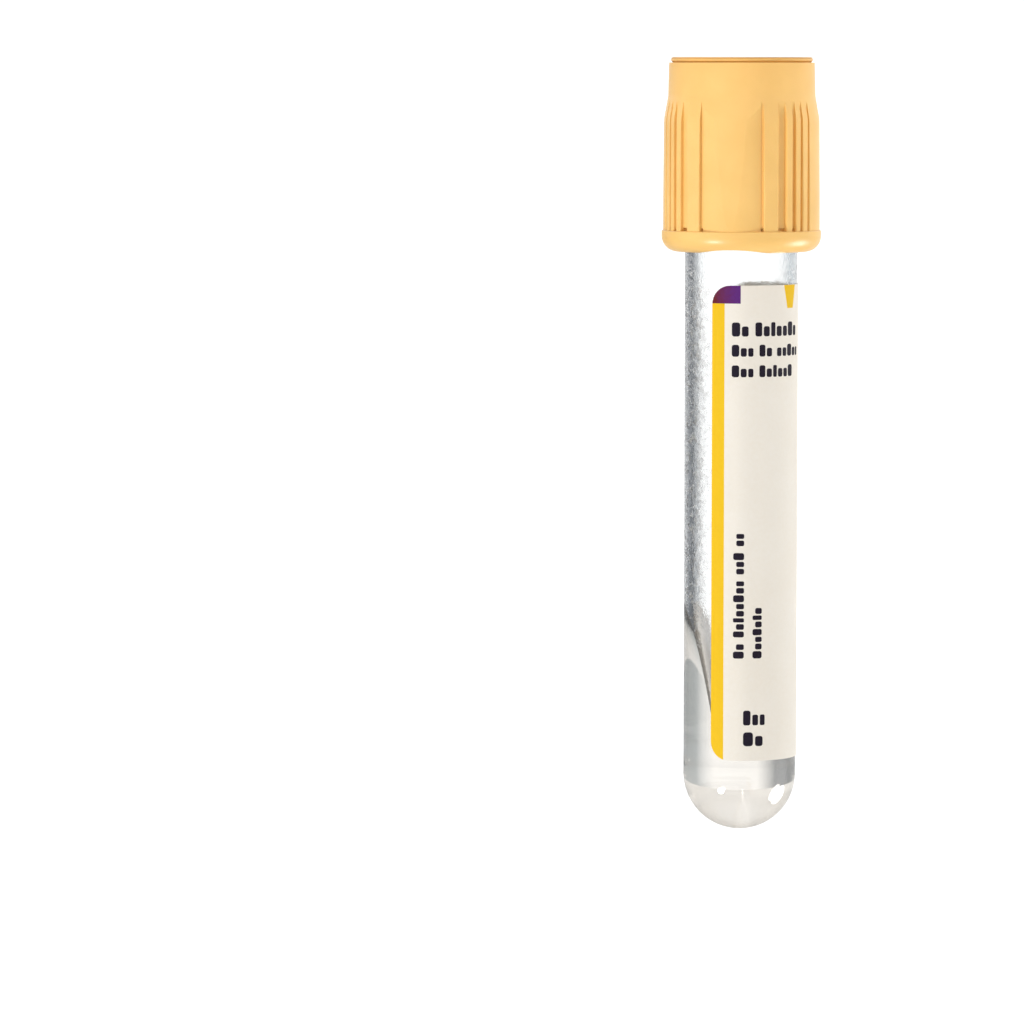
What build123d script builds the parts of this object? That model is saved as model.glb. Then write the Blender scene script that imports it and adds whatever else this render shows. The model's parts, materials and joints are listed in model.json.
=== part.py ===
from build123d import *
from math import asin, cos, degrees, radians, sin, sqrt, tan
import os

# A 13 x 75 mm serum separator tube with a gold safety closure.
# Lengths are in millimetres and angles in degrees. Each piece is first made with the lowest point of the
# round bottom at the origin, +Z up the tube and the front of the label facing -Y. Its round bottom can't
# stand, so the whole is then stood on the closure's flat top, with the label's front still facing -Y.

# ---- tube ----
TUBE_LENGTH = 75.0
TUBE_RADIUS = 6.5
RIM_WALL = 1.0
BOTTOM_WALL = 1.15
RIM_BEVEL = 0.25
BORE_STRAIGHT = 10.0  # length of the bore that the stopper seals in, before the mould's draft begins
RIM_TAPER = 0.05  # how much the outside narrows towards the rim, where the skirt covers it
TAPER_BELOW_SKIRT = 1.0  # the narrowing starts this far below the skirt

# ---- closure: how it sits on the tube ----
SKIRT_DEPTH = 8.2  # how far the shield reaches down past the rim
SKIRT_GAP = 0.35
PLUG_GAP = 0.05
CLOSURE_TURN = -7.8  # the closure's front panel is turned this far from the label's front

# ---- rubber stopper ----
PLUG_DEPTH = 7.8
PLUG_WALL = 2.55
PLUG_LEAD = 0.6
STOPPER_OVERHANG = 0.8  # the stopper's flange stands out this far past the tube
STOPPER_FLANGE = 3.0
SEPTUM = 3.8
BOSS_HEIGHT = 3.5
BOSS_LAP = 1.0  # the boss is wider than the needle port by this much
WELL_INSET = 2.4  # rubber left round the well in the top of the boss

# ---- closure shield ----
SHIELD_HEIGHT = 22.25
SHIELD_WALL = 1.25  # between the stopper's flange and the floor of the grooves
GROOVE_DEPTH = 0.45
FLANGE_STEP = 0.17  # the bottom flange stands out past the ribs
FLANGE_HEIGHT = 2.5
FLANGE_ROUND = 1.8
FLANGE_BEVEL = 0.12
FLANGE_SLOPE = 18.0  # the flange's top falls inwards, to a trough round the grip
ARCH_HEIGHT = 0.38  # the flange's bottom edge rises under the front and back panels
ARCH_HALF_WIDTH = 3.9
COLLAR_HEIGHT = 4.45  # from where the ribs have faded out to the shield's top
FADE_HEIGHT = 2.6
GRIP_DRAFT = 0.08  # how much the ribs lean in over the height of the grip
COLLAR_STEP = 0.1  # from the grooves' floor in to the collar, so that the grooves run out
COLLAR_DRAFT = 0.09
SHOULDER_ROUND = 4.0
LIP_HEIGHT = 0.6
LIP_STEP = 0.22
LIP_BEVEL = 0.2
LIP_UNDERCUT = 0.22  # notch between the collar and the lip, as deep as it is high
PORT_RADIUS = 4.4
PORT_CHAMFER = 0.3
LEDGE_GAP = 0.2  # air above the boss, under the port's ledge
BOSS_GAP = 0.1
POCKET_GAP = 0.05
SKIRT_LEAD = 0.25

# Grip pattern of one quadrant, in degrees from the middle of the front panel. It is mirrored left to
# right and front to back.
PANEL_HALF = 22.6
PANEL_RECESS = 0.4  # how far the panel's edges lie below its crown
PANEL_CROWN = 0.03  # the crown stands out past the rib tips
FIRST_RIB = 24.4
GROOVES = ((39.5, 6.8), (50.2, 3.4), (58.0, 2.4), (66.5, 2.2))  # middle, width
TIP_ROUND = 0.16
FOOT_DEPTH = 0.3  # the grooves are this much deeper in a pocket at their foot
FOOT_HEIGHT = 0.35  # from the flange's edge up to the top of the pocket

# ---- label ----
LABEL_THICKNESS = 0.06
LABEL_FROM_BOTTOM = 8.6
LABEL_BELOW_SKIRT = 3.7
LABEL_CORNER = 2.2
LABEL_START = -30.0  # left edge, seen from the front
LABEL_WRAP = 220.0

# ---- separator gel ----
GEL_TURN = -85.0  # the side that it climbs, as an angle from the label's front
GEL_PAST = 0.45  # its surface is drawn this far past the bore's wall on both sides
GEL_FOOT = 5.3  # height of the surface at its low end
GEL_PEAK = 26.9  # and at its high end
# The surface between its ends, as (distance from the axis towards the high side, height).
GEL_SURFACE = (
    (-2.6, 5.9),
    (-0.5, 8.6),
    (2.0, 12.0),
    (3.2, 17.0),
    (3.8, 22.4),
)

# ---- worked out from the sizes above ----
RIM_BORE = TUBE_RADIUS - RIM_WALL
BOTTOM_BORE = TUBE_RADIUS - BOTTOM_WALL
SKIRT_BOTTOM = TUBE_LENGTH - SKIRT_DEPTH
SKIRT_BORE = TUBE_RADIUS + SKIRT_GAP
SHIELD_TOP = SKIRT_BOTTOM + SHIELD_HEIGHT
PLUG_RADIUS = RIM_BORE - PLUG_GAP
STOPPER_RADIUS = TUBE_RADIUS + STOPPER_OVERHANG
BOSS_BASE = TUBE_LENGTH + STOPPER_FLANGE
BOSS_TOP = BOSS_BASE + BOSS_HEIGHT
BOSS_RADIUS = PORT_RADIUS + BOSS_LAP
PORT_LEDGE = BOSS_TOP + LEDGE_GAP
GROOVE_FLOOR = STOPPER_RADIUS + SHIELD_WALL
RIB_RADIUS = GROOVE_FLOOR + GROOVE_DEPTH
FLANGE_RADIUS = RIB_RADIUS + FLANGE_STEP
FLANGE_TOP = SKIRT_BOTTOM + FLANGE_HEIGHT
COLLAR_BASE = SHIELD_TOP - COLLAR_HEIGHT
GRIP_TOP = COLLAR_BASE - FADE_HEIGHT
COLLAR_RADIUS = GROOVE_FLOOR - COLLAR_STEP
LIP_BASE = SHIELD_TOP - LIP_HEIGHT
LABEL_TOP = SKIRT_BOTTOM - LABEL_BELOW_SKIRT


def polar(radius, angle):
    """A point across the tube: angle 0 is the front, -Y, and it grows towards +X."""
    return (radius * sin(radians(angle)), -radius * cos(radians(angle)))


def turned(outline):
    """The solid that a closed outline of (radius, height) points sweeps round the tube's axis."""
    return revolve(Plane.XZ * outline, Axis.Z)


def polygon(*points):
    return make_face(Polyline(*points, close=True))


def rounded(outline, *corners):
    """The outline with a radius at each of the given corners."""
    for corner, radius in corners:
        outline = fillet(outline.vertices().sort_by_distance(corner)[0], radius)
    return outline


def bevelled(outline, corner, length):
    return chamfer(outline.vertices().sort_by_distance(corner)[0], length)


def drum(radius, bottom, top):
    """A plain cylinder on the axis."""
    return Pos(Z=bottom) * Cylinder(radius, top - bottom, align=(Align.CENTER, Align.CENTER, Align.MIN))


def bore_outline(top):
    """The inside of the tube up to a height: round bottom, drafted wall, straight seat at the rim."""
    seat = TUBE_LENGTH - BORE_STRAIGHT
    middle = TUBE_RADIUS  # height of the centre of the round bottom
    if top > seat:
        wall = [(BOTTOM_BORE, middle), (RIM_BORE, seat), (RIM_BORE, top), (0, top)]
    else:
        slope = (RIM_BORE - BOTTOM_BORE) / (seat - middle)
        wall = [(BOTTOM_BORE, middle), (BOTTOM_BORE + slope * (top - middle), top), (0, top)]
    return make_face(
        [
            CenterArc((0, middle), BOTTOM_BORE, -90, 90),
            Polyline(*wall, (0, BOTTOM_WALL)),
        ]
    )


def tube():
    """Tube moulded in one piece, with a hemispherical bottom and a bevelled rim."""
    wall = [
        (TUBE_RADIUS, TUBE_RADIUS),
        (TUBE_RADIUS, SKIRT_BOTTOM - TAPER_BELOW_SKIRT),
        (TUBE_RADIUS - RIM_TAPER, TUBE_LENGTH),
        (0, TUBE_LENGTH),
        (0, 0),
    ]
    outside = make_face([CenterArc((0, TUBE_RADIUS), TUBE_RADIUS, -90, 90), Polyline(*wall)])
    body = turned(outside) - turned(bore_outline(TUBE_LENGTH + RIM_WALL))
    return chamfer(body.edges().group_by(Axis.Z)[-1], RIM_BEVEL)


def separator_gel():
    """Gel in the bottom of the bore. Its surface is low on one side and climbs the other as a thick film."""
    reach = BOTTOM_BORE + GEL_PAST
    low, high = (-reach, GEL_FOOT), (reach, GEL_PEAK)
    fill_top = GEL_PEAK + BOTTOM_WALL
    over = fill_top + BOTTOM_WALL
    surface = Spline(low, *GEL_SURFACE, high)
    air = make_face([surface, Polyline(high, (reach, over), (-reach, over), low)])
    cutter = extrude(Plane.XZ * air, 2 * TUBE_RADIUS, both=True)
    return turned(bore_outline(fill_top)) - Rot(Z=GEL_TURN - 90) * cutter


def label():
    """Paper label wrapped part of the way round the tube, with rounded corners."""
    outer = TUBE_RADIUS + LABEL_THICKNESS
    strip = polygon(
        (TUBE_RADIUS, LABEL_FROM_BOTTOM),
        (outer, LABEL_FROM_BOTTOM),
        (outer, LABEL_TOP),
        (TUBE_RADIUS, LABEL_TOP),
    )
    paper = Rot(Z=LABEL_START - 90) * revolve(Plane.XZ * strip, Axis.Z, revolution_arc=LABEL_WRAP)
    inset = degrees(asin(LABEL_CORNER / outer))
    for side, angle in ((-1, LABEL_START + inset), (1, LABEL_START + LABEL_WRAP - inset)):
        for up, height in ((-1, LABEL_FROM_BOTTOM + LABEL_CORNER), (1, LABEL_TOP - LABEL_CORNER)):
            along = (cos(radians(angle)), sin(radians(angle)), 0)
            facing = Plane(origin=(0, 0, height), x_dir=along, z_dir=(*polar(1, angle), 0))
            square = Rectangle(2 * LABEL_CORNER, 2 * LABEL_CORNER)
            scrap = Pos(side * LABEL_CORNER, up * LABEL_CORNER) * square - Circle(LABEL_CORNER)
            paper -= extrude(facing * scrap, 2 * outer)
    return paper


def rubber_stopper():
    """Stopper turned about its axis: hollow plug, flange on the tube's rim, boss with a well, septum."""
    recess = PLUG_RADIUS - PLUG_WALL
    plug_bottom = TUBE_LENGTH - PLUG_DEPTH
    septum_top = BOSS_BASE
    well = BOSS_RADIUS - WELL_INSET
    return turned(
        polygon(
            (0, septum_top - SEPTUM),
            (recess, septum_top - SEPTUM),
            (recess, plug_bottom),
            (PLUG_RADIUS - PLUG_LEAD, plug_bottom),
            (PLUG_RADIUS, plug_bottom + PLUG_LEAD),
            (PLUG_RADIUS, TUBE_LENGTH),
            (STOPPER_RADIUS, TUBE_LENGTH),
            (STOPPER_RADIUS, BOSS_BASE),
            (BOSS_RADIUS, BOSS_BASE),
            (BOSS_RADIUS, BOSS_TOP),
            (well, BOSS_TOP),
            (well, septum_top),
            (0, septum_top),
        )
    )


def mirrored(angle):
    """One quadrant's angle, repeated left and right of the front and of the back."""
    return (angle, -angle, 180 - angle, 180 + angle)


def sector(start, end):
    """A wedge across the closure between two angles, wider than the closure."""
    reach = 2 * FLANGE_RADIUS
    return polygon((0, 0), polar(reach, start), polar(reach, end))


def grip_section():
    """Cross-section of the grip: bulging front and back panels, ribs and grooves, plain sides."""
    core = Circle(GROOVE_FLOOR)
    section = Circle(RIB_RADIUS)
    for middle, width in GROOVES:
        for angle in mirrored(middle):
            section -= sector(angle - width / 2, angle + width / 2) - core
    crown = RIB_RADIUS + PANEL_CROWN
    edge = crown - PANEL_RECESS
    across = edge * cos(radians(PANEL_HALF))
    centre = (crown**2 - edge**2) / (2 * (crown - across))
    for turn in (0, 180):
        lobe = Pos(*polar(centre, turn)) * Circle(crown - centre)
        section -= sector(turn - FIRST_RIB, turn + FIRST_RIB) - core
        section += lobe & sector(turn - PANEL_HALF, turn + PANEL_HALF)
    tips = section.vertices().filter_by(lambda v: sqrt(v.X**2 + v.Y**2) > RIB_RADIUS - GROOVE_DEPTH / 3)
    return fillet(tips, TIP_ROUND)


def grip():
    """Ribbed grip, from inside the flange up to the collar."""
    foot = SKIRT_BOTTOM + FLANGE_ROUND
    return Pos(Z=foot) * extrude(grip_section(), COLLAR_BASE - foot)


def shoulder():
    """Outer limit of the grip and the collar: the ribs fade into the smooth collar, with a lip on top."""
    grip_top = RIB_RADIUS - GRIP_DRAFT
    collar_top = COLLAR_RADIUS - COLLAR_DRAFT
    lip = collar_top - LIP_STEP
    outline = polygon(
        (0, SKIRT_BOTTOM),
        (RIB_RADIUS + PANEL_CROWN, SKIRT_BOTTOM),
        (RIB_RADIUS + PANEL_CROWN, FLANGE_TOP),
        (grip_top, GRIP_TOP),
        (COLLAR_RADIUS, COLLAR_BASE),
        (collar_top, LIP_BASE),
        (lip - LIP_UNDERCUT, LIP_BASE),
        (lip, LIP_BASE + LIP_UNDERCUT),
        (lip, SHIELD_TOP),
        (0, SHIELD_TOP),
    )
    outline = rounded(
        outline,
        ((grip_top, GRIP_TOP), SHOULDER_ROUND),
        ((COLLAR_RADIUS, COLLAR_BASE), SHOULDER_ROUND),
    )
    return turned(bevelled(outline, (lip, SHIELD_TOP), LIP_BEVEL))


def flange():
    """Bottom flange: a round lower edge, a crisp upper edge and a top that falls to the foot of the grip."""
    inner = GROOVE_FLOOR - GROOVE_DEPTH
    trough = FLANGE_TOP - (FLANGE_RADIUS - inner) * tan(radians(FLANGE_SLOPE))
    outline = polygon(
        (0, SKIRT_BOTTOM),
        (FLANGE_RADIUS, SKIRT_BOTTOM),
        (FLANGE_RADIUS, FLANGE_TOP),
        (inner, trough),
        (0, trough),
    )
    outline = rounded(outline, ((FLANGE_RADIUS, SKIRT_BOTTOM), FLANGE_ROUND))
    return turned(bevelled(outline, (FLANGE_RADIUS, FLANGE_TOP), FLANGE_BEVEL))


def groove_feet():
    """Cutter for the pockets at the grooves' feet and beside the panels."""
    gap = FIRST_RIB - PANEL_HALF
    ring = Circle(GROOVE_FLOOR + FOOT_DEPTH) - Circle(GROOVE_FLOOR - FOOT_DEPTH)
    feet = Sketch()
    for middle, width in ((PANEL_HALF + gap / 2, gap), *GROOVES):
        for angle in mirrored(middle):
            feet += ring & sector(angle - width / 2, angle + width / 2)
    return Pos(Z=FLANGE_TOP) * extrude(feet, FOOT_HEIGHT)


def shield_inside():
    """Skirt bore over the tube, pocket for the stopper's flange, bore for its boss, needle port."""
    over = SHIELD_WALL  # the cutter runs past both ends of the shield
    return turned(
        polygon(
            (0, SKIRT_BOTTOM - over),
            (SKIRT_BORE + SKIRT_LEAD, SKIRT_BOTTOM - over),
            (SKIRT_BORE + SKIRT_LEAD, SKIRT_BOTTOM),
            (SKIRT_BORE, SKIRT_BOTTOM + SKIRT_LEAD),
            (SKIRT_BORE, TUBE_LENGTH),
            (STOPPER_RADIUS + POCKET_GAP, TUBE_LENGTH),
            (STOPPER_RADIUS + POCKET_GAP, BOSS_BASE),
            (BOSS_RADIUS + BOSS_GAP, BOSS_BASE),
            (BOSS_RADIUS + BOSS_GAP, PORT_LEDGE),
            (PORT_RADIUS, PORT_LEDGE),
            (PORT_RADIUS, SHIELD_TOP - PORT_CHAMFER),
            (PORT_RADIUS + PORT_CHAMFER, SHIELD_TOP),
            (PORT_RADIUS + PORT_CHAMFER, SHIELD_TOP + over),
            (0, SHIELD_TOP + over),
        )
    )


def closure_shield():
    """Shield moulded in one piece: flange, ribbed grip that fades into the collar, stopper seat, port."""
    collar = drum(RIB_RADIUS, COLLAR_BASE, SHIELD_TOP)
    outside = shoulder() & (grip() + collar)
    arch_radius = (ARCH_HALF_WIDTH**2 + ARCH_HEIGHT**2) / (2 * ARCH_HEIGHT)
    arch = Rot(X=90) * Cylinder(arch_radius, 4 * FLANGE_RADIUS)
    arch_centre = SKIRT_BOTTOM + ARCH_HEIGHT - arch_radius
    return outside - groove_feet() + flange() - shield_inside() - Pos(Z=arch_centre) * arch


def stood_on_closure(pieces):
    """The pieces with the closure's flat top on the floor and the round bottom up."""
    return {name: Pos(Z=SHIELD_TOP) * Rot(Y=180) * piece for name, piece in pieces.items()}


turn = Rot(Z=CLOSURE_TURN)
pieces = {
    "tube": tube(),
    "separator_gel": separator_gel(),
    "label": label(),
    "closure_shield": turn * closure_shield(),
    "rubber_stopper": turn * rubber_stopper(),
}
os.makedirs("parts", exist_ok=True)
for name, piece in stood_on_closure(pieces).items():
    export_step(piece, f"parts/{name}.step")
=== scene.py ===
import json
import math

import bmesh
import bpy
from mathutils import Matrix, Vector
from mathutils.geometry import interpolate_bezier


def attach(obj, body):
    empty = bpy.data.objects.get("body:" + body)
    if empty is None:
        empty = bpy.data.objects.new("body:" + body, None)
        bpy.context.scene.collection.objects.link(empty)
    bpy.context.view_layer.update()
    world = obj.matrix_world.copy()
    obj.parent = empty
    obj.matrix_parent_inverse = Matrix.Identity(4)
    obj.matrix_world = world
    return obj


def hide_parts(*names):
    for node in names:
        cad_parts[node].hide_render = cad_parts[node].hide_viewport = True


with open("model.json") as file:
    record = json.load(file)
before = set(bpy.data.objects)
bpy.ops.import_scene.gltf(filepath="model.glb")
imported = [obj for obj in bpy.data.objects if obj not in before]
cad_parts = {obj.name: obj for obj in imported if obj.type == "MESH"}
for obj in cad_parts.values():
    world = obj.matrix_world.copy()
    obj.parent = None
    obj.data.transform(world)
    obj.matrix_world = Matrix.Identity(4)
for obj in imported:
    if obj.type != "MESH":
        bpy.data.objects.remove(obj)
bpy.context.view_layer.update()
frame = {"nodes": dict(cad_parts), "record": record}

mounts = {m["name"]: m for m in frame["record"]["mounts"]}
outside = mounts["tube_outside"]
TUBE_RADIUS = outside["dims"]["r_mm"]
to_dome = Vector(outside["axis"]).normalized()
along = -to_dome
front = Vector((0, -1, 0))
right = along.cross(front)
bottom = Vector(outside["pos_m"]) + to_dome * (TUBE_RADIUS + outside["dims"]["length_mm"] / 2) / 1000
turn = Matrix((right, along, front)).transposed().to_4x4()
MM = Matrix.Translation(bottom) @ turn @ Matrix.Scale(0.001, 4)
FROM_ROW = MM.inverted()


def tube_box(node):
    """A CAD node's extent along the tube, in millimetres from the round bottom."""
    spans = [(v.co - bottom).dot(along) * 1000 for v in frame["nodes"][node].data.vertices]
    return min(spans), max(spans)


TUBE_LENGTH = tube_box("tube")[1]
LABEL_BOTTOM, LABEL_TOP = tube_box("label")
SKIRT_BOTTOM = tube_box("closure_shield")[0]

# The tube, as the CAD source has it.
RIM_WALL = 1.0
BOTTOM_WALL = 1.15
BORE_STRAIGHT = 10.0  # the bore has no draft over this length below the rim
RIM_TAPER = 0.05  # the outside narrows by this towards the rim
TAPER_BELOW_SKIRT = 1.0  # from this far below the closure
RIM_BORE = TUBE_RADIUS - RIM_WALL
BOTTOM_BORE = TUBE_RADIUS - BOTTOM_WALL

# What is drawn finer than the CAD source has it: a round where the rim has a bevel, and the mould's ridge,
# as (out, up) from the top of the round bottom, which stops for it at this many degrees.
RIM_ROUND = 0.3
MOULD_RIDGE = ((0.012, -0.1), (0.012, -0.02), (0.0, 0.05))
RIDGE_FOOT = -1.5
COAT_BELOW_RIM = 0.4  # the bore's material starts this far below the rim
FACE_MARGIN = 0.02  # slack when a face's distance from the axis says which surface it is on
AROUND = 192  # steps round the tube
ROUND_STEPS = 32  # steps along the round bottom

# The gel's free surface, as (distance from the axis towards the side that it climbs, height). It is drawn
# closer to the real one than in the CAD source.
GEL_TURN = -100.0  # the side that it climbs, as an angle from the label's front
GEL_PROFILE = (
    (-5.8, 9.3),
    (-3.0, 9.5),
    (-1.0, 9.9),
    (0.5, 10.6),
    (1.5, 11.6),
    (2.03, 12.9),
    (2.45, 15.2),
    (3.15, 18.6),
    (3.95, 21.9),
    (4.85, 24.8),
    (5.8, 27.2),
)
GEL_PEAK = GEL_PROFILE[-1][1]
GEL_LAP = 0.03  # the gel is drawn a little into the wall, so that the two touch without an air film

# The dried spray on the bore lies between these heights in the row frame and fades out at both, in metres.
SPRAY_START = 0.0235
SPRAY_END = 0.0785
SPRAY_FADE = 0.006
SPRAY_SIDE = 0.0036  # it is dense on the left and right of the bore, from this far off the middle
SPRAY_WIDTH = 0.0012  # and thins out over this much
SPRAY_MIDDLE = 0.15  # how much of it there is in the middle

# The label, as the CAD source has it.
LABEL_THICKNESS = 0.06
LABEL_CORNER = 2.2
LABEL_START = -30.0
LABEL_WRAP = 220.0
LABEL_RADIUS = TUBE_RADIUS + LABEL_THICKNESS
LABEL_WIDTH = math.radians(LABEL_WRAP) * LABEL_RADIUS
LABEL_HEIGHT = LABEL_TOP - LABEL_BOTTOM

# The label's print, in millimetres on the unrolled label from its bottom left corner.
LABEL_MAP = "unrolled"
STRIPE_WIDTH = 1.55
PATCH_WIDTH = 3.4
PATCH_BASE = LABEL_HEIGHT - 2.05
ARROW_MIDDLE = 10.2
ARROW_FOOT = LABEL_HEIGHT - 2.65
ARROW_TIP = 0.6  # half its width at the tip
ARROW_SLOPE = (1.3 - ARROW_TIP) / 3.0  # it is 1.3 mm at 3 mm from there
INK_THICKNESS = 0.008
INK_LIFT = 0.002
# Where a real label has its maker's words, this one has rows of plain blocks: each block's width and height
# as shares of its row's, and the rows as (turned up, left, low, height, blocks in each word, width, gap).
BLOCKS = (
    (1.0, 1.0), (0.8, 0.72), (0.7, 0.72), (0.85, 1.0), (0.8, 0.72), (0.6, 1.0), (0.8, 0.72), (0.75, 0.72),
)
BLOCK_ROUND = 0.3
WORD_GAP = 3  # times the gap between blocks
PRINT_ROWS = (
    (False, 2.4, 48.7, 1.6, (2, 7), 0.95, 0.2),
    (False, 2.4, 46.4, 1.35, (3, 2, 5), 0.85, 0.18),
    (False, 2.4, 44.05, 1.35, (3, 6), 0.85, 0.18),
    (True, 3.9, 11.8, 1.25, (2, 8, 3, 2), 0.8, 0.2),
    (True, 6.0, 11.8, 1.1, (7,), 0.85, 0.18),
    (False, 3.85, 4.1, 1.7, (3,), 0.85, 0.22),
    (False, 3.85, 1.7, 1.6, (2,), 1.15, 0.25),
)

# The camera, in the tube's frame: it stands just above the floor and looks slightly upwards.
LENS = 204.25
DISTANCE = 669.0
EYE_HEIGHT = 88.5
AIM_RIGHT = -26.36
AIM_HEIGHT = 36.63
ROLL = 0.044

PLASTIC_IOR = 1.57
GEL_IOR = 1.41

# The studio's colours, by where they are.
PALE_SIDE = (0.58, 0.63, 0.66)
DARK_SIDE = (0.33, 0.35, 0.38)
DARK_END = (0.1, 0.11, 0.125)
WHITE = (1.25, 1.25, 1.25)
ROOM_DIM, ROOM, ROOM_BRIGHT = (0.42, 0.42, 0.42), (0.6, 0.6, 0.6), (0.95, 0.95, 0.95)
OVERHEAD, ZENITH = (0.55, 0.525, 0.49), (0.85, 0.85, 0.85)
NONE, ALL = (0, 0, 0), (1, 1, 1)


# ---- meshes ----
def placed(name, mesh):
    piece = bpy.data.objects.new(name, mesh)
    bpy.context.scene.collection.objects.link(piece)
    return piece


def finished(name, mesh, body, replaced=()):
    """A finished mesh in tube millimetres becomes a piece in the row frame that rides on a body."""
    mesh.transform(MM)
    mesh.update()
    piece = placed(name, mesh)
    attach(piece, body)
    if replaced:
        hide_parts(*replaced)
    return piece


def mesh_of(bm, name):
    bmesh.ops.recalc_face_normals(bm, faces=bm.faces)
    mesh = bpy.data.meshes.new(name)
    bm.to_mesh(mesh)
    bm.free()
    return mesh


def shaded(mesh, sharp=40):
    """Smooth shading, with sharp edges over the given angle in degrees."""
    mesh.shade_smooth()
    mesh.set_sharp_from_angle(angle=math.radians(sharp))
    return mesh


def swept(profile, steps):
    """A closed profile of (radius, height) points swept round the tube's axis."""
    bm = bmesh.new()
    rings = []
    for radius, height in profile:
        if radius < 1e-6:
            rings.append([bm.verts.new((0, height, 0))])
            continue
        turns = [2 * math.pi * i / steps for i in range(steps)]
        rings.append([bm.verts.new((radius * math.sin(a), height, radius * math.cos(a))) for a in turns])
    for low, high in zip(rings, rings[1:] + rings[:1]):
        if len(low) == 1 and len(high) == 1:
            continue
        for i in range(steps):
            j = (i + 1) % steps
            corners = [low[i % len(low)], low[j % len(low)], high[j % len(high)], high[i % len(high)]]
            bm.faces.new(list(dict.fromkeys(corners)))
    return bm


def flat(bm, points):
    bm.faces.new([bm.verts.new((x, y, 0)) for x, y in points])


def arc(centre, radius, start, end, count):
    """Points on a circle, angles in degrees from the first axis."""
    turns = [math.radians(start + (end - start) * i / count) for i in range(count + 1)]
    return [(centre[0] + radius * math.cos(a), centre[1] + radius * math.sin(a)) for a in turns]


def run(start, end, count):
    """The points between two ends that part the line into count steps."""
    return [tuple(a + (b - a) * i / count for a, b in zip(start, end)) for i in range(1, count)]


def rounded_box(left, low, width, height, radius, count=8):
    corners = (
        ((left + width - radius, low + radius), -90),
        ((left + width - radius, low + height - radius), 0),
        ((left + radius, low + height - radius), 90),
        ((left + radius, low + radius), 180),
    )
    points = []
    for centre, start in corners:
        points += arc(centre, radius, start, start + 90, count)
    return points


def smooth_through(points, steps):
    """A smooth line through the points, with the given steps between each two (centripetal Catmull-Rom)."""
    knots = [Vector(p) for p in points]
    knots = [2 * knots[0] - knots[1]] + knots + [2 * knots[-1] - knots[-2]]
    line = []
    for a, b, c, d in zip(knots, knots[1:], knots[2:], knots[3:]):
        first, second, third = ((q - p).length ** 0.5 for p, q in ((a, b), (b, c), (c, d)))
        leave = b + ((b - a) / first - (c - a) / (first + second) + (c - b) / second) * second / 3
        arrive = c - ((c - b) / second - (d - b) / (second + third) + (d - c) / third) * second / 3
        line += interpolate_bezier(b, leave, arrive, c, steps + 1)[:-1]
    return line + [knots[-2]]


# ---- camera ----
eye = MM @ Vector((0, EYE_HEIGHT, DISTANCE))
aim = MM @ Vector((AIM_RIGHT, AIM_HEIGHT, 0))
back = (eye - aim).normalized()
side = along.cross(back).normalized()
camera = placed("camera", bpy.data.cameras.new("camera"))
camera.data.lens = LENS
camera.data.sensor_width = 36
camera.data.clip_start = 0.01
camera.data.clip_end = 20
axes = Matrix((side, back.cross(side), back)).transposed().to_4x4()
camera.matrix_world = Matrix.Translation(eye) @ axes @ Matrix.Rotation(math.radians(ROLL), 4, "Z")
bpy.context.scene.camera = camera


# ---- materials ----
class Nodes:
    """A node tree that is built in a few words."""

    def __init__(self, tree):
        self.tree = tree
        self.coords = self.node("TexCoord")

    def node(self, kind, *links, **values):
        node = self.tree.nodes.new("ShaderNode" + kind)
        for key, value in values.items():
            if hasattr(node, key):
                setattr(node, key, value)
            else:
                node.inputs[key.replace("_", " ")].default_value = value
        for socket, source in links:
            self.tree.links.new(source, node.inputs[socket])
        return node

    def fill(self, sockets, values):
        """Each value is a number, a colour or another node's output."""
        for socket, value in zip(sockets, values):
            if isinstance(value, (int, float)):
                socket.default_value = value
            elif isinstance(value, tuple):
                socket.default_value = (*value, 1)
            else:
                self.tree.links.new(value, socket)

    def math(self, operation, a, b=0.0, c=0.0):
        node = self.node("Math", operation=operation)
        self.fill(node.inputs, (a, b, c))
        return node.outputs[0]

    def noise(self, scale, detail=2.0, roughness=0.5):
        vector = ("Vector", self.coords.outputs["Object"])
        return self.node("TexNoise", vector, Scale=scale, Detail=detail, Roughness=roughness).outputs["Fac"]

    def ramp(self, source, *stops):
        node = self.node("ValToRGB", ("Fac", source))
        elements = node.color_ramp.elements
        while len(elements) < len(stops):
            elements.new(0.5)
        for element, (place, colour) in zip(elements, stops):
            element.position = place
            element.color = (*colour, 1)
        return node.outputs["Color"]

    def mix(self, factor, a, b):
        node = self.node("Mix", data_type="RGBA")
        self.fill((node.inputs[0], node.inputs[6], node.inputs[7]), (factor, a, b))
        return node.outputs[2]

    def split(self, vector):
        return self.node("SeparateXYZ", ("Vector", vector)).outputs


class Shader(Nodes):
    """The nodes of a material."""

    def __init__(self, name):
        self.material = bpy.data.materials.new(name)
        self.material.use_nodes = True
        self.material.node_tree.nodes.clear()
        super().__init__(self.material.node_tree)

    def bump(self, height, distance, strength):
        return self.node("Bump", ("Height", height), Distance=distance, Strength=strength).outputs[0]

    def principled(self, *links, **values):
        return self.node("BsdfPrincipled", *links, **values).outputs[0]

    def blend(self, share, first, second):
        """Two shaders, the second with a constant share."""
        return self.node("MixShader", (1, first), (2, second), Fac=share).outputs[0]

    def surface(self, shader):
        self.node("OutputMaterial", ("Surface", shader))
        return self.material


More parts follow.
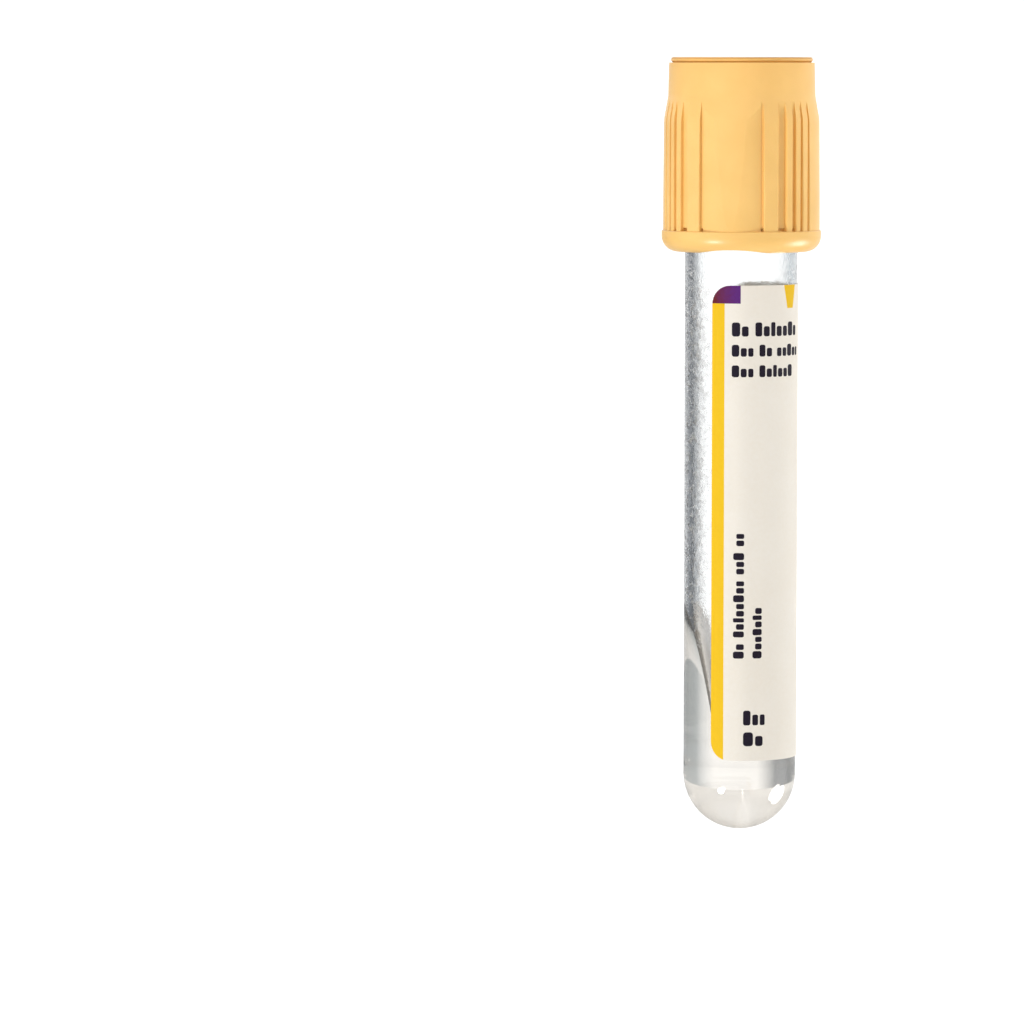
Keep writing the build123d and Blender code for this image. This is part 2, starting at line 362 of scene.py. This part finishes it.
def gold_plastic():
    s = Shader("gold_plastic")
    colour = s.ramp(s.noise(260, 3), (0.3, (0.83, 0.51, 0.158)), (0.7, (0.87, 0.545, 0.177)))
    rough = s.math("MULTIPLY_ADD", s.noise(9000, 2), 0.12, 0.27)
    skin = s.bump(s.noise(5200, 2, 0.6), 0.00002, 0.35)
    return s.surface(
        s.principled(
            ("Base Color", colour), ("Roughness", rough), ("Normal", skin),
            IOR=1.49, Subsurface_Weight=0.06, Subsurface_Radius=(0.9, 0.45, 0.12), Subsurface_Scale=0.0004,
        )
    )


def stopper_rubber():
    s = Shader("stopper_rubber")
    colour = s.ramp(s.noise(420, 4), (0.3, (0.34, 0.235, 0.105)), (0.7, (0.41, 0.29, 0.14)))
    rough = s.math("MULTIPLY_ADD", s.noise(6000, 2), 0.15, 0.5)
    skin = s.bump(s.noise(7000, 3), 0.00003, 0.4)
    return s.surface(s.principled(("Base Color", colour), ("Roughness", rough), ("Normal", skin), IOR=1.52))


def clear_plastic():
    s = Shader("clear_plastic")
    flow = s.bump(s.noise(90, 1), 0.00006, 0.25)
    rough = s.math("MULTIPLY_ADD", s.noise(700, 2), 0.02, 0.005)
    return s.surface(
        s.principled(
            ("Roughness", rough), ("Normal", flow),
            Base_Color=(0.975, 0.985, 0.985, 1), IOR=PLASTIC_IOR, Transmission_Weight=1.0,
        )
    )


def coated_wall():
    """The inner wall with its sprayed clot activator: white clumps on clear plastic, few near the closure."""
    s = Shader("coated_wall")
    clumps = s.noise(1500, 2, 0.5)
    specks = s.noise(5200, 2, 0.55)
    both = s.math("MULTIPLY_ADD", clumps, 0.7, s.math("MULTIPLY", specks, 0.3))
    across, _, height = s.split(s.coords.outputs["Object"])
    start = s.math("MULTIPLY_ADD", height, 1 / SPRAY_FADE, -SPRAY_START / SPRAY_FADE)
    end = s.math("MULTIPLY_ADD", height, -1 / SPRAY_FADE, SPRAY_END / SPRAY_FADE)
    spray = s.math("MINIMUM", s.math("SMOOTH_MIN", start, 1.0, 0.2), end)
    off_middle = s.math("ABSOLUTE", across)
    sides = s.math("MULTIPLY_ADD", off_middle, 1 / SPRAY_WIDTH, -SPRAY_SIDE / SPRAY_WIDTH)
    sides = s.math("MINIMUM", s.math("MAXIMUM", sides, SPRAY_MIDDLE), 1.0)
    clumped = s.ramp(both, (0.54, (0.0, 0.0, 0.0)), (0.6, (0.9, 0.9, 0.9)))
    cover = s.math("MULTIPLY", clumped, s.math("MAXIMUM", spray, 0.0))
    cover = s.math("MULTIPLY", cover, sides)
    rough = s.math("MULTIPLY_ADD", specks, 0.2, 0.0)
    skin = s.bump(both, 0.00008, 0.5)
    clear = s.principled(
        ("Roughness", rough), ("Normal", skin),
        Base_Color=(0.98, 0.985, 0.985, 1), IOR=PLASTIC_IOR, Transmission_Weight=1.0,
    )
    powder = s.principled(Base_Color=(0.96, 0.96, 0.97, 1), Roughness=0.8)
    through = s.node("BsdfTranslucent", Color=(0.99, 0.99, 1, 1)).outputs[0]
    powder = s.blend(0.5, powder, through)
    return s.surface(s.node("MixShader", ("Fac", cover), (1, clear), (2, powder)).outputs[0])


def gel_body():
    """The gel where it lies on the wall, slightly milky."""
    s = Shader("gel_body")
    cloud = s.noise(300, 3)
    colour = s.ramp(cloud, (0.3, (0.935, 0.888, 0.838)), (0.7, (0.96, 0.912, 0.862)))
    rough = s.math("MULTIPLY_ADD", cloud, 0.06, 0.02)
    links = ("Base Color", colour), ("Roughness", rough)
    return s.surface(s.principled(*links, IOR=GEL_IOR, Transmission_Weight=0.97))


def gel_skin():
    """The gel's free surface, smooth and warm."""
    s = Shader("gel_skin")
    colour = s.ramp(s.noise(500, 3), (0.3, (0.99, 0.94, 0.86)), (0.7, (1.0, 0.975, 0.93)))
    skin = s.bump(s.noise(400, 2), 0.00005, 0.3)
    links = ("Base Color", colour), ("Normal", skin)
    return s.surface(s.principled(*links, IOR=GEL_IOR, Roughness=0.05, Transmission_Weight=0.98))


def label_paper():
    """Satin paper with its colour print: a yellow stripe down the left edge, a violet corner, an arrow."""
    s = Shader("label_paper")
    fibre = s.noise(2600, 4, 0.6)
    cloud = s.noise(120, 3)
    grain = s.math("MULTIPLY_ADD", cloud, 0.5, s.math("MULTIPLY", fibre, 0.5))
    paper = s.ramp(grain, (0.3, (0.94, 0.89, 0.8)), (0.7, (0.975, 0.94, 0.875)))
    across, up, _ = s.split(s.node("UVMap", uv_map=LABEL_MAP).outputs[0])
    in_stripe, below = s.math("LESS_THAN", across, STRIPE_WIDTH), s.math("LESS_THAN", up, PATCH_BASE)
    stripe = s.math("MULTIPLY", in_stripe, below)
    in_patch, above = s.math("LESS_THAN", across, PATCH_WIDTH), s.math("GREATER_THAN", up, PATCH_BASE)
    patch = s.math("MULTIPLY", in_patch, above)
    half = s.math("MULTIPLY_ADD", s.math("SUBTRACT", up, ARROW_FOOT), ARROW_SLOPE, ARROW_TIP)
    off_arrow = s.math("ABSOLUTE", s.math("SUBTRACT", across, ARROW_MIDDLE))
    in_arrow, above = s.math("LESS_THAN", off_arrow, half), s.math("GREATER_THAN", up, ARROW_FOOT)
    arrow = s.math("MULTIPLY", in_arrow, above)
    yellow = s.mix(fibre, (0.93, 0.59, 0.003), (0.97, 0.66, 0.008))
    fade = s.math("DIVIDE", across, PATCH_WIDTH)
    blend = s.math("MULTIPLY_ADD", fibre, 0.4, s.math("MULTIPLY", fade, 0.7))
    violet = s.ramp(blend, (0.2, (0.16, 0.008, 0.008)), (0.8, (0.13, 0.02, 0.23)))
    colour = s.mix(s.math("MAXIMUM", stripe, arrow), paper, yellow)
    colour = s.mix(patch, colour, violet)
    skin = s.bump(fibre, 0.00001, 0.3)
    rough = s.math("MULTIPLY_ADD", fibre, 0.1, 0.4)
    face = s.principled(("Base Color", colour), ("Roughness", rough), ("Normal", skin), IOR=1.36)
    through = s.node("BsdfTranslucent", ("Color", colour)).outputs[0]
    return s.surface(s.blend(0.28, face, through))


def label_ink():
    s = Shader("label_ink")
    blot = s.noise(5200, 3, 0.6)
    colour = s.ramp(blot, (0.35, (0.004, 0.002, 0.008)), (0.7, (0.012, 0.006, 0.022)))
    rough = s.math("MULTIPLY_ADD", blot, 0.15, 0.5)
    return s.surface(s.principled(("Base Color", colour), ("Roughness", rough), IOR=1.3))


def pale_floor():
    s = Shader("pale_floor")
    colour = s.ramp(s.noise(40, 2), (0.3, (0.92, 0.92, 0.92)), (0.7, (0.94, 0.94, 0.94)))
    return s.surface(s.principled(("Base Color", colour), Roughness=0.7))


# ---- tube ----
def bore_radius(height):
    """Inner radius of the tube at a height."""
    if height < TUBE_RADIUS:
        return math.sqrt(max(BOTTOM_BORE**2 - (TUBE_RADIUS - height) ** 2, 0))
    draft = (RIM_BORE - BOTTOM_BORE) / (TUBE_LENGTH - BORE_STRAIGHT - TUBE_RADIUS)
    return BOTTOM_BORE + draft * (height - TUBE_RADIUS)


def tube_mesh():
    """Fine rows up to the gel's peak, so that the gel and the spray have a smooth border."""
    centre = (0, TUBE_RADIUS)
    rim = TUBE_RADIUS - RIM_TAPER
    taper = (TUBE_RADIUS, SKIRT_BOTTOM - TAPER_BELOW_SKIRT)
    outer = arc(centre, TUBE_RADIUS, -90, RIDGE_FOOT, ROUND_STEPS)
    outer += [(TUBE_RADIUS + out, TUBE_RADIUS + up) for out, up in MOULD_RIDGE]
    outer += run(outer[-1], taper, 24) + [taper]
    rounds = arc((rim - RIM_ROUND, TUBE_LENGTH - RIM_ROUND), RIM_ROUND, 0, 90, 6)
    rounds += arc((RIM_BORE + RIM_ROUND, TUBE_LENGTH - RIM_ROUND), RIM_ROUND, 90, 180, 6)
    seat = (RIM_BORE, TUBE_LENGTH - BORE_STRAIGHT)
    peak = (bore_radius(GEL_PEAK), GEL_PEAK)
    inner = [seat] + run(seat, peak, 16) + [peak]
    inner += run(peak, (BOTTOM_BORE, TUBE_RADIUS), 100)
    inner += arc(centre, BOTTOM_BORE, 0, -90, ROUND_STEPS)
    return shaded(mesh_of(swept(outer + rounds + inner, AROUND), "tube_wall"))


gel_line = smooth_through(GEL_PROFILE, 24)
gel_turn = math.radians(GEL_TURN)
gel_reach = Vector((math.sin(gel_turn), 0, math.cos(gel_turn)))


def gel_height(point):
    """The height of the gel's surface in line with a point, both in tube millimetres."""
    reach = point.dot(gel_reach)
    for low, high in zip(gel_line, gel_line[1:]):
        if reach <= high.x:
            return low.y + (high.y - low.y) * (reach - low.x) / (high.x - low.x)
    return gel_line[-1].y


tube = finished("tube_wall", tube_mesh(), "tube", ("tube",))
tube.data.materials.append(clear_plastic())
tube.data.materials.append(coated_wall())
for face in tube.data.polygons:
    place = FROM_ROW @ face.center
    in_bore = math.hypot(place.x, place.z) < RIM_BORE + FACE_MARGIN
    coated = gel_height(place) < place.y < TUBE_LENGTH - COAT_BELOW_RIM
    face.material_index = 1 if in_bore and coated else 0


# ---- gel ----
def without(base, cutter):
    """The base's mesh less the cutter's, both used up."""
    modifier = base.modifiers.new("cut", "BOOLEAN")
    modifier.operation = "DIFFERENCE"
    modifier.solver = "EXACT"
    modifier.object = cutter
    graph = bpy.context.evaluated_depsgraph_get()
    made = bpy.data.meshes.new_from_object(base.evaluated_get(graph))
    bpy.data.objects.remove(base)
    bpy.data.objects.remove(cutter)
    return made


def gel_mesh():
    """The bore's fill less the air over it, a prism that lies across the way that the gel climbs."""
    lap = BOTTOM_BORE + GEL_LAP
    top = GEL_PEAK + 1
    edge = (bore_radius(top) + GEL_LAP, top)
    profile = arc((0, TUBE_RADIUS), lap, -90, 0, ROUND_STEPS)
    profile += run((lap, TUBE_RADIUS), edge, 20) + [edge, (0, top)]
    fill = placed("gel_fill", mesh_of(swept(profile, AROUND), "gel_fill"))
    air = [tuple(p) for p in gel_line]
    air += [(air[-1][0], 2 * top), (air[0][0], 2 * top)]
    across = gel_reach.cross(Vector((0, 1, 0))) * 2 * TUBE_RADIUS
    bm = bmesh.new()
    ends = []
    for offset in (-across, across):
        ends.append([bm.verts.new(gel_reach * x + Vector((0, y, 0)) + offset) for x, y in air])
        bm.faces.new(ends[-1])
    for i in range(len(air)):
        j = (i + 1) % len(air)
        bm.faces.new((ends[0][i], ends[0][j], ends[1][j], ends[1][i]))
    bmesh.ops.triangulate(bm, faces=[f for f in bm.faces if len(f.verts) > 4])
    mesh = shaded(without(fill, placed("gel_cutter", mesh_of(bm, "gel_cutter"))), 30)
    mesh.name = "gel"
    for face in mesh.polygons:
        place = face.center
        wall = bore_radius(place.y) + GEL_LAP - FACE_MARGIN
        face.material_index = 1 if math.hypot(place.x, place.z) < wall else 0
    return mesh


gel = finished("gel_plug", gel_mesh(), "tube", ("separator_gel",))
gel.data.materials.clear()
gel.data.materials.append(gel_body())
gel.data.materials.append(gel_skin())


# ---- label ----
def wrapped(across, up, out):
    """A place on the unrolled label (millimetres from its bottom left corner, and off the tube's wall)."""
    angle = math.radians(LABEL_START) + across / LABEL_RADIUS
    radius = TUBE_RADIUS + out
    return Vector((radius * math.sin(angle), LABEL_BOTTOM + up, radius * math.cos(angle)))


def wrap_flat(bm, low, high, sides=True, step=0.2):
    """Flat faces in (across, up) become a thin sheet between two distances from the tube's wall.

    With no sides it is left as two layers of faces with open edges.
    """
    span = [v.co.x for v in bm.verts]
    place = math.floor(min(span) / step) * step
    while place < max(span):
        geometry = bm.verts[:] + bm.edges[:] + bm.faces[:]
        bmesh.ops.bisect_plane(bm, geom=geometry, plane_co=(place, 0, 0), plane_no=(1, 0, 0), dist=1e-6)
        place += step
    for v in bm.verts:
        v.co.z = low
    copy = bmesh.ops.duplicate(bm, geom=bm.verts[:] + bm.edges[:] + bm.faces[:])
    twins = copy["vert_map"]
    upper = {v for v in copy["geom"] if isinstance(v, bmesh.types.BMVert)}
    rim = [e for e in bm.edges if e.is_boundary and e.verts[0] not in upper]
    for v in upper:
        v.co.z = high
    if sides:
        for e in rim:
            a, b = e.verts
            bm.faces.new((a, b, twins[b], twins[a]))
    layer = bm.loops.layers.uv.new(LABEL_MAP)
    for face in bm.faces:
        for loop in face.loops:
            loop[layer].uv = loop.vert.co.xy
    for v in bm.verts:
        v.co = wrapped(*v.co)


def block_row(start, foot, tall, words, wide, gap):
    """A row of boxes, as (left, low, width, height): words are counts of blocks."""
    boxes = []
    for word, count in enumerate(words):
        for i in range(count):
            across, up = BLOCKS[(i + 3 * word) % len(BLOCKS)]
            boxes.append((start, foot, wide * across, tall * up))
            start += wide * across + gap
        start += WORD_GAP * gap
    return boxes


def turned_up(boxes, left, low):
    """The same row, turned to read from the bottom up, from a new corner."""
    return [(left - y - height, low + x, height, width) for x, y, width, height in boxes]


sheet = bmesh.new()
flat(sheet, rounded_box(0, 0, LABEL_WIDTH, LABEL_HEIGHT, LABEL_CORNER))
wrap_flat(sheet, 0.0, LABEL_THICKNESS)
sheet = shaded(mesh_of(sheet, "label_sheet"))
label = finished("label_sheet", sheet, "tube", ("label",))
label.data.materials.append(label_paper())

printed = bmesh.new()
for turned, left, low, *row in PRINT_ROWS:
    boxes = turned_up(block_row(0, 0, *row), left, low) if turned else block_row(left, low, *row)
    for x, y, width, height in boxes:
        flat(printed, rounded_box(x, y, width, height, BLOCK_ROUND * min(width, height), 4))
# The blocks still lack their sides: each is two open layers of faces. sides=True would close them.
wrap_flat(printed, LABEL_THICKNESS + INK_LIFT, LABEL_THICKNESS + INK_LIFT + INK_THICKNESS, sides=False)
printed = shaded(mesh_of(printed, "label_ink"))
ink = finished("label_ink", printed, "tube")
ink.data.materials.append(label_ink())

# ---- closure ----
for node, material in (("closure_shield", gold_plastic()), ("rubber_stopper", stopper_rubber())):
    held = frame["nodes"][node]
    held.data.materials.clear()
    held.data.materials.append(material)

# ---- floor ----
bm = bmesh.new()
bmesh.ops.create_circle(bm, cap_ends=True, segments=128, radius=1.5)
floor = placed("floor", mesh_of(bm, "floor"))
floor.data.materials.append(pale_floor())

# ---- world ----
# The studio is white behind the tube, and a softer grey overhead and behind the camera. Both sides of the
# backdrop are grey, which draws the clear tube's edges, and the one at the picture's left darkens at its end.
world = bpy.data.worlds.new("world")
bpy.context.scene.world = world
world.use_nodes = True
sky = Nodes(world.node_tree)
x, y, z = sky.split(sky.coords.outputs["Generated"])
sideways = sky.math("MULTIPLY_ADD", x, 0.5, 0.5)
backdrop = sky.ramp(
    sideways,
    (0.24, PALE_SIDE), (0.37, WHITE), (0.59, WHITE), (0.7, DARK_SIDE), (0.76, DARK_SIDE), (0.84, DARK_END),
)
room = sky.ramp(sideways, (0.0, ROOM_DIM), (0.5, ROOM), (1.0, ROOM_BRIGHT))
behind = sky.ramp(y, (0.0, NONE), (0.3, ALL))
overhead = sky.ramp(z, (0.15, NONE), (0.5, ALL))
zenith = sky.ramp(z, (0.75, OVERHEAD), (0.95, ZENITH))
colour = sky.mix(overhead, sky.mix(behind, room, backdrop), zenith)
world.node_tree.links.new(colour, world.node_tree.nodes["Background"].inputs["Color"])


# ---- lights ----
def studio_light(name, towards, width, strength):
    """A round light far off in a direction, with its width as an angle in degrees."""
    data = bpy.data.lights.new(name, "SUN")
    data.angle = math.radians(width)
    data.energy = strength
    light = placed(name, data)
    light.location = towards
    light.rotation_euler = (-Vector(towards)).to_track_quat("-Z", "Y").to_euler()


studio_light("key", (0.56, -0.6, 0.5), 11, 1.6)
studio_light("side", (-0.82, 0.22, 0.5), 26, 1.75)

# Light passes many clear walls on its way through the tube.
bpy.context.scene.cycles.max_bounces = 24
bpy.context.scene.cycles.transmission_bounces = 24
bpy.context.scene.view_settings.view_transform = "Standard"
